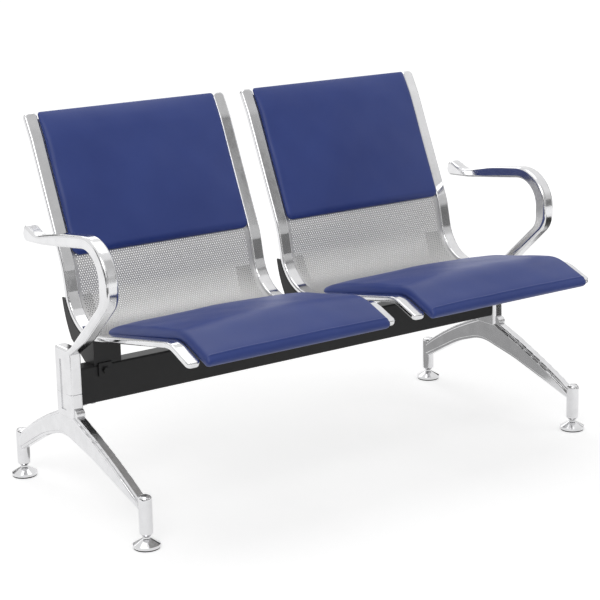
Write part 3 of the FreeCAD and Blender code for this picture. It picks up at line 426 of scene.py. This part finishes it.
class SheetLength:
    """One length of the sheet before it is bent. A point has its X, its distance along the
    seat line and its offset from that line."""

    def __init__(self, middle, row_step, cell_width):
        self.middle = middle
        self.row_step = row_step
        self.cell_width = cell_width
        self.points = []
        self.faces = []

    def add_points(self, outline):
        """Points of both faces of the sheet, and the number of the first one."""
        base = len(self.points)
        self.points += [(*place, SHEET_HIGH) for place in outline]
        self.points += [(*place, SHEET_LOW) for place in outline]
        return base

    def add_cell(self, x, s):
        half_x, half_s = self.cell_width / 2, self.row_step / 2
        outline = [(x + half_x, s - half_s), (x - half_x, s - half_s),
                   (x - half_x, s + half_s), (x + half_x, s + half_s)]
        outline += [(x + HOLE_RADIUS * u, s - HOLE_RADIUS * v) for u, v in HOLE_CORNERS]
        self.faces += cell_faces(self.add_points(outline))

    def add_plain(self, x_low, x_high, s_low, s_high):
        """A stretch without holes."""
        base = self.add_points([(x_high, s_low), (x_low, s_low),
                                (x_low, s_high), (x_high, s_high)])
        self.faces.append((base, base + 1, base + 2, base + 3))
        self.faces.append((base + 7, base + 6, base + 5, base + 4))

    def add_row(self, s, count):
        """A row of cells with a plain margin at both ends."""
        first_x = self.middle - (count - 1) / 2 * self.cell_width
        for column in range(count):
            self.add_cell(first_x + column * self.cell_width, s)
        edge = count / 2 * self.cell_width
        s_low, s_high = s - self.row_step / 2, s + self.row_step / 2
        self.add_plain(self.middle - INNER_HALF, self.middle - edge, s_low, s_high)
        self.add_plain(self.middle + edge, self.middle + INNER_HALF, s_low, s_high)

    def add_end(self, s_low, s_high):
        """A plain margin along a whole row."""
        self.add_plain(self.middle - INNER_HALF, self.middle + INNER_HALF, s_low, s_high)

    def bent(self):
        """The points on the seat line, in the frame, and the faces."""
        points, faces = merged(self.points, self.faces, SHEET_STEPS_PER_METRE)
        places = {}
        vertices = []
        for x, s, offset in points:
            key = (round(s, PLACE_DIGITS), round(offset, PLACE_DIGITS))
            if key not in places:
                places[key] = SEAT_LINE.at(s, offset)
            vertices.append((x, places[key].x, places[key].y))
        return vertices, faces


def perforated_sheet(seat, material):
    """The sheet of one seat, in lengths that each stay small enough to be kept."""
    holed_length = SEAT_LINE.length - 2 * SHEET_END - 2 * SHEET_MARGIN
    row_count = round(holed_length / ROW_PITCH)
    row_step = holed_length / row_count
    holed_width = 2 * INNER_HALF - 2 * SHEET_MARGIN
    columns = int(holed_width / HOLE_PITCH)
    first_s = SHEET_END + SHEET_MARGIN
    last_s = first_s + holed_length
    cuts = [row_count * number // SHEET_LENGTHS for number in range(SHEET_LENGTHS + 1)]
    for number, (first_row, next_row) in enumerate(zip(cuts, cuts[1:])):
        sheet = SheetLength(SIDES[seat] * SEAT_X, row_step, holed_width / columns)
        for row in range(first_row, next_row):
            sheet.add_row(first_s + (row + 0.5) * row_step, columns - row % 2)
        if number == 0:
            sheet.add_end(SHEET_END, first_s)
        if number == SHEET_LENGTHS - 1:
            sheet.add_end(last_s, last_s + SHEET_MARGIN)
        points, faces = sheet.bent()
        piece = new_piece("perforated_%s_%d" % (seat, number), points, faces, material,
                          SHEET_SMOOTH_DEGREES)
        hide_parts("seat_sheet_" + seat)


# Pads: the offset of each surface over the sheet, by the place on the pad

PAD_HALF = INNER_HALF - 0.0007
PAD_FLOOR = SHEET_HIGH + 0.0003
PAD_ROWS, PAD_COLUMNS = 44, 40
PAD_RIM, RIM_STEPS = 0.016, 6
UNDER_ROLL = 0.007
PAD_STEPS_PER_METRE = 1e6
PAD_SMOOTH_DEGREES = 80
OVER_CREST, PAST_BEND, OVER_LIP = 0.009, 0.003, 0.031

# The cover's waviness: its height, the long waves with their radians a metre across and along
# the pad and their phase, and the share and numbers of the short crossed waves.
SLACK_HEIGHT = 0.0005
LONG_WAVES = ((31, 17, 0.0), (-19, 43, 1.3))
SHORT_SHARE, SHORT_ACROSS, SHORT_ALONG, SHORT_PHASE = 0.7, 71, 59, 0.4

# The sewn ridge: its distance from the front end, its half width and its height.
WELT_AT, WELT_HALF, WELT_RISE = 0.013, 0.0022, 0.0016
WELT_STEPS = 3


def smooth_step(value):
    """A soft rise from 0 to 1 as the value goes from 0 to 1."""
    value = min(max(value, 0.0), 1.0)
    return value * value * (3 - 2 * value)


def roll_profile(distance, roll):
    """Height share near an edge that rolls over within a distance: a quarter ellipse."""
    share = min(max(distance / roll, 0.0), 1.0)
    return math.sqrt(1 - (1 - share) ** 2)


def edge_spaced(count, length, extra=()):
    """Positions from 0 to length, crowded within the rim at both ends, and some extra ones."""
    rim = [PAD_RIM * (1 - math.cos(math.radians(90 * k / RIM_STEPS))) for k in range(RIM_STEPS)]
    flat = [PAD_RIM + (length - 2 * PAD_RIM) * k / count for k in range(count + 1)]
    return sorted(rim + flat + [length - value for value in rim] + list(extra))


def slack(x, s):
    """The slight waviness of a cover stretched over foam."""
    long_waves = sum(math.sin(across * x + along * s + phase)
                     for across, along, phase in LONG_WAVES)
    short_waves = math.sin(SHORT_ACROSS * x + SHORT_PHASE) * math.sin(SHORT_ALONG * s)
    return SLACK_HEIGHT * (long_waves + SHORT_SHARE * short_waves)


def welt(distance):
    """A sewn ridge along the front, by the distance from the pad's end."""
    return WELT_RISE * max(0.0, 1 - ((distance - WELT_AT) / WELT_HALF) ** 2)


# Each pad's shape: the radii of its corners where it starts, at the rear or top, and stops;
# the offsets of its waist and of its top's side, by the share of its length; how far its
# edges roll; its crown, how the crown swells along it, and its ridge.
BACK_SHAPE = {"corner_start": 0.006, "corner_stop": 0.015,
              "waist": lambda share: 0.0145,
              "side": lambda share: 0.022,
              "roll_side": 0.011, "roll_start": 0.040, "roll_stop": 0.016,
              "nose_under": 0.007, "crown": 0.013,
              "swell": lambda share: 0.35 + 0.65 * math.sin(math.pi * share),
              "welt": lambda distance: 0.0}
SEAT_SHAPE = {"corner_start": 0.018, "corner_stop": 0.008,
              "waist": lambda share: 0.012 + 0.008 * smooth_step(share),
              "side": lambda share: 0.026 + 0.005 * smooth_step(share * 3),
              "roll_side": 0.011, "roll_start": 0.050, "roll_stop": 0.024,
              "nose_under": 0.014, "crown": 0.011,
              "swell": lambda share: 0.3 + 0.7 * math.sin(math.pi * share),
              "welt": welt}


def row_half_width(s, length, shape):
    """Half the pad's width at a distance from its start, less beside its round corners."""
    end, corner = min((s, shape["corner_start"]), (length - s, shape["corner_stop"]))
    if end >= corner:
        return PAD_HALF
    return PAD_HALF - corner + math.sqrt(corner ** 2 - (corner - end) ** 2)


def under_offset(side, s, length, shape):
    """The under surface: the pad's floor, rolled up to the waist at its edges."""
    waist = shape["waist"](s / length)
    rise = (roll_profile(side, UNDER_ROLL) * roll_profile(s, UNDER_ROLL)
            * roll_profile(length - s, shape["nose_under"]))
    return waist + (PAD_FLOOR - waist) * rise


def top_offset(x, side, s, length, shape):
    """The top surface: its side height and crown, rolled down to the waist at its edges."""
    share = s / length
    waist = shape["waist"](share)
    rise = (roll_profile(side, shape["roll_side"]) * roll_profile(s, shape["roll_start"])
            * roll_profile(length - s, shape["roll_stop"]))
    crown = shape["crown"] * (1 - (x / PAD_HALF) ** 2) * shape["swell"](share)
    crown += slack(x, s) + shape["welt"](length - s)
    return waist + (shape["side"](share) + crown - waist) * rise


def pad_points(middle, start, length, rows, columns, shape):
    """Both surfaces in the frame, row by row: the whole top, then the whole under side."""
    points = []
    for under in (False, True):
        for s in rows:
            row_half = row_half_width(s, length, shape)
            for column in columns:
                x = column * row_half / PAD_HALF
                side = row_half - abs(x)
                if under:
                    offset = under_offset(side, s, length, shape)
                else:
                    offset = top_offset(x, side, s, length, shape)
                place = SEAT_LINE.at(start + s, offset)
                points.append((middle + x, place.x, place.y))
    return points


def two_grids(row_count, column_count):
    """Quads of a grid of points and of the same grid after it, which faces the other way."""
    faces = []
    for row in range(row_count - 1):
        for column in range(column_count - 1):
            corner = row * column_count + column
            quad = (corner, corner + column_count, corner + column_count + 1, corner + 1)
            faces.append(quad)
            faces.append(tuple(value + row_count * column_count for value in reversed(quad)))
    return faces


def pad_piece(kind, seat, start, stop, shape, material):
    """An upholstered pad: top and under surfaces that meet in a rounded side."""
    length = stop - start
    ridge = [length - WELT_AT + WELT_HALF * (k / WELT_STEPS - 1)
             for k in range(2 * WELT_STEPS + 1)]
    rows = edge_spaced(PAD_ROWS, length, ridge)
    columns = [value - PAD_HALF for value in edge_spaced(PAD_COLUMNS, 2 * PAD_HALF)]
    points = pad_points(SIDES[seat] * SEAT_X, start, length, rows, columns, shape)
    points, faces = merged(points, two_grids(len(rows), len(columns)), PAD_STEPS_PER_METRE)
    piece = new_piece("%s_cushion_%s" % (kind, seat), points, faces, material,
                      PAD_SMOOTH_DEGREES)
    smoother = piece.modifiers.new("Smooth", "SUBSURF")
    smoother.levels = smoother.render_levels = 1
    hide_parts("%s_pad_%s" % (kind, seat))


def pads(material):
    """The back and seat pad of each seat, to both sides of the bend in the seat line."""
    back_stop = SEAT_LINE.parts[LUMBAR_ARC].begin + PAST_BEND
    seat_start = SEAT_LINE.parts[PAN_RUN_PART].begin - PAST_BEND
    seat_stop = SEAT_LINE.length + OVER_LIP
    for seat in SIDES:
        pad_piece("back", seat, -OVER_CREST, back_stop, BACK_SHAPE, material)
        pad_piece("seat", seat, seat_start, seat_stop, SEAT_SHAPE, material)


# Camera, with Y counted from midway between the feet, and angles in degrees

CAMERA_AT = (-2.171, -3.048, 1.319)
HEADING, PITCH, ROLL = 54.66, 14.44, -1.13
FOCAL_PIXELS, FRAME_PIXELS, SENSOR = 1736.2, 600, 36.0
VIEW_REACH = 60


def camera():
    """The camera, from where it stands, its heading, its pitch and its roll."""
    heading, pitch, roll = (math.radians(value) for value in (HEADING, PITCH, ROLL))
    forward = Vector((math.cos(heading) * math.cos(pitch), math.sin(heading) * math.cos(pitch),
                      -math.sin(pitch)))
    right = Vector((math.sin(heading), -math.cos(heading), 0))
    up = right.cross(forward)
    tilted_right = right * math.cos(roll) + up * math.sin(roll)
    tilted_up = up * math.cos(roll) - right * math.sin(roll)
    data = bpy.data.cameras.new("camera")
    data.sensor_width = SENSOR
    data.lens = FOCAL_PIXELS / FRAME_PIXELS * SENSOR
    data.clip_end = VIEW_REACH
    item = new_object("camera", data)
    turn = Matrix((tilted_right, tilted_up, -forward)).transposed()
    place = Vector(CAMERA_AT) + Vector((0, FEET_Y, 0))
    item.matrix_world = Matrix.Translation(place) @ turn.to_4x4()
    bpy.context.scene.camera = item


# Each lamp has its place, the point that it faces, its width and height, its power and
# whether bright metal mirrors it.
LAMPS = {"key": ((-2.6, -2.2, 3.0), (0, 0, 0.5), (2.4, 1.6), 34, True),
         "fill": ((2.8, -2.6, 2.2), (0, 0, 0.4), (2.0, 2.0), 16, False),
         "top": ((0, 0.4, 3.6), (0, 0, 0.4), (3.0, 2.2), 22, True),
         "rim": ((0.5, 3.0, 2.4), (0, 0, 0.5), (3.0, 1.4), 14, True)}


def lights():
    """The area lamps of the studio."""
    for name, (place, target, size, power, mirrored) in LAMPS.items():
        data = bpy.data.lights.new(name, "AREA")
        data.shape = "RECTANGLE"
        data.size, data.size_y = size
        data.energy = power
        item = new_object(name, data)
        item.location = place
        aim = Vector(target) - Vector(place)
        item.rotation_euler = aim.to_track_quat("-Z", "Y").to_euler()
        item.visible_glossy = mirrored


# Cards round the studio give bright metal something to mirror. Each upright card has the
# angle that it stands at, seen from above and counted from +X, its distance, width, low and
# high edges and tone. Each flat card has its box on the floor, as low and high X and Y, and
# its tone.
UPRIGHT_CARDS = [(30, 4.0, 0.9, 0.0, 1.4, 0.03),
                 (100, 4.0, 1.0, 1.2, 2.6, 0.05),
                 (3, 4.0, 1.3, 0.4, 2.2, 0.40),
                 (180, 4.0, 1.2, 0.5, 2.4, 0.40),
                 (276, 4.0, 0.8, 0.5, 2.4, 0.40),
                 (84, 4.0, 1.1, 0.4, 1.8, 0.45),
                 (160, 4.0, 0.9, 0.3, 2.4, 0.04),
                 (200, 3.6, 1.6, 0.0, 1.5, 0.02),
                 (232, 3.4, 1.0, 0.3, 1.1, 0.02),
                 (262, 4.0, 0.8, 0.2, 3.0, 0.05),
                 (306, 4.0, 2.2, 1.25, 5.2, 0.64),
                 (311, 3.9, 0.16, 1.25, 5.2, 0.12),
                 (306, 4.0, 2.2, 0.25, 1.25, 0.20),
                 (300, 3.9, 0.16, 0.75, 3.0, 0.36),
                 (345, 4.0, 0.7, 0.0, 1.6, 0.04)]
# The first flat card, grey, is a painted shadow: it lies under the bench where the bench's
# shadow falls, so bright metal mirrors a darker floor there.
FLAT_CARDS_WITH_PAINTED_SHADOW = [((-0.46, 0.50), (0.10, 0.95), 0.40),
              ((-2.6, -1.25), (-2.4, -0.75), 0.02),
              ((-1.1, -0.45), (-2.9, -1.7), 0.02),
              ((1.0, 1.5), (-1.6, 0.2), 0.05)]
FLAT_CARD_Z = 0.001


def card(name, corners, tone):
    """A flat card that only bright surfaces see."""
    material, tree, shader = new_material(name)
    feed(tree, shader, {"Base Color": (0, 0, 0, 1), "Specular IOR Level": 0.0,
                        "Roughness": 1.0, "Emission Color": (tone, tone, tone, 1),
                        "Emission Strength": 1.0})
    item = new_quad(name, corners, material)
    item.visible_camera = False
    item.visible_diffuse = False
    item.visible_shadow = False
    item.visible_transmission = False


def cards():
    """The upright and the flat cards."""
    for number, (angle, far, width, low, high, tone) in enumerate(UPRIGHT_CARDS):
        turn = math.radians(angle)
        middle = Vector((math.cos(turn), math.sin(turn), 0)) * far
        aside = Vector((-math.sin(turn), math.cos(turn), 0)) * (width / 2)
        foot, head = Vector((0, 0, low)), Vector((0, 0, high))
        corners = [middle - aside + foot, middle + aside + foot,
                   middle + aside + head, middle - aside + head]
        card("upright_card_%d" % number, corners, tone)
    for number, ((x_low, x_high), (y_low, y_high), tone) in enumerate(FLAT_CARDS_WITH_PAINTED_SHADOW):
        corners = [(x_low, y_low, FLAT_CARD_Z), (x_high, y_low, FLAT_CARD_Z),
                   (x_high, y_high, FLAT_CARD_Z), (x_low, y_high, FLAT_CARD_Z)]
        card("flat_card_%d" % number, corners, tone)


# Background and floor

WORLD_SHOWN, WORLD_LIT = 1.0, 0.28
FLOOR_HALF, FLOOR_Z = 14.0, -0.0005
FLOOR_TONE = (0.8, 0.8, 0.8, 1)
WHITE = (1, 1, 1, 1)

# The floor's own glow, so that it shows white, at a near and a far distance from its middle.
NEAR, FAR = 0.6, 3.5
NEAR_GLOW, FAR_GLOW = 0.58, 0.84


def larger(tree, first, second):
    """The larger of two values."""
    node = add_node(tree, "ShaderNodeMath", {0: first, 1: second}, operation="MAXIMUM")
    return node.outputs["Value"]


def white_for_eye(tree, shown, lit):
    """Mix: the shown shader for the eye, mirrors and glass, the lit shader for all else."""
    path = tree.nodes.new("ShaderNodeLightPath")
    seen = larger(tree, path.outputs["Is Camera Ray"], path.outputs["Is Glossy Ray"])
    seen = larger(tree, seen, path.outputs["Is Transmission Ray"])
    mix = add_node(tree, "ShaderNodeMixShader",
                   {0: seen, 1: lit.outputs[0], 2: shown.outputs[0]})
    return mix.outputs["Shader"]


def world():
    """A white background that gives less light than it shows."""
    item = bpy.data.worlds.new("studio")
    bpy.context.scene.world = item
    item.use_nodes = True
    tree = item.node_tree
    tree.nodes.clear()
    shown = add_node(tree, "ShaderNodeBackground", {"Color": WHITE, "Strength": WORLD_SHOWN})
    lit = add_node(tree, "ShaderNodeBackground", {"Color": WHITE, "Strength": WORLD_LIT})
    add_node(tree, "ShaderNodeOutputWorld", {"Surface": white_for_eye(tree, shown, lit)})


def floor():
    """A white floor that keeps a soft shadow."""
    material, tree, shader = new_material("floor_white")
    feed(tree, shader, {"Base Color": FLOOR_TONE, "Roughness": 1.0, "Specular IOR Level": 0.0})
    distance = add_node(tree, "ShaderNodeVectorMath", {0: object_coordinates(tree)},
                        operation="LENGTH")
    strength = map_range(tree, distance.outputs["Value"], NEAR_GLOW, FAR_GLOW, NEAR, FAR)
    glow = add_node(tree, "ShaderNodeEmission", {"Color": WHITE, "Strength": strength})
    seen = add_node(tree, "ShaderNodeAddShader", {0: shader.outputs[0], 1: glow.outputs[0]})
    feed(tree, tree.nodes["Material Output"], {"Surface": white_for_eye(tree, seen, shader)})
    corners = [(-FLOOR_HALF, -FLOOR_HALF, 0), (FLOOR_HALF, -FLOOR_HALF, 0),
               (FLOOR_HALF, FLOOR_HALF, 0), (-FLOOR_HALF, FLOOR_HALF, 0)]
    new_quad("floor", corners, material).location.z = FLOOR_Z


def dress():
    """Give every node its material, and put the sheets and pads in place of the plain ones."""
    casting = bright_plating("plated_casting", smoothest=0.10, roughest=0.20)
    tube = bright_plating("plated_tube", smoothest=0.07, roughest=0.15)
    silver = silver_coat("silver_sheet")
    coat_nodes(casting, "leg_", "arm_")
    coat_nodes(tube, "side_tube", "tube_plugs", "foot_glide")
    coat_nodes(black_coat(), "beam", "frame_bolts", "bracket_")
    coat_nodes(zinc(), "leg_screws", "arm_screws", "foot_stud", "seat_pad_screws",
               "back_pad_screws")
    coat_nodes(silver_coat("silver_bars"), "front_pan_bar", "rear_pan_bar", "lower_back_bar",
               "upper_back_bar")
    coat_nodes(plywood(), "seat_board", "back_board")
    coat_nodes(sole_rubber(), "foot_sole")
    for seat in SIDES:
        perforated_sheet(seat, silver)
    pads(leatherette())


dress()
camera()
lights()
cards()
world()
floor()

bpy.context.scene.view_settings.view_transform = "Standard"
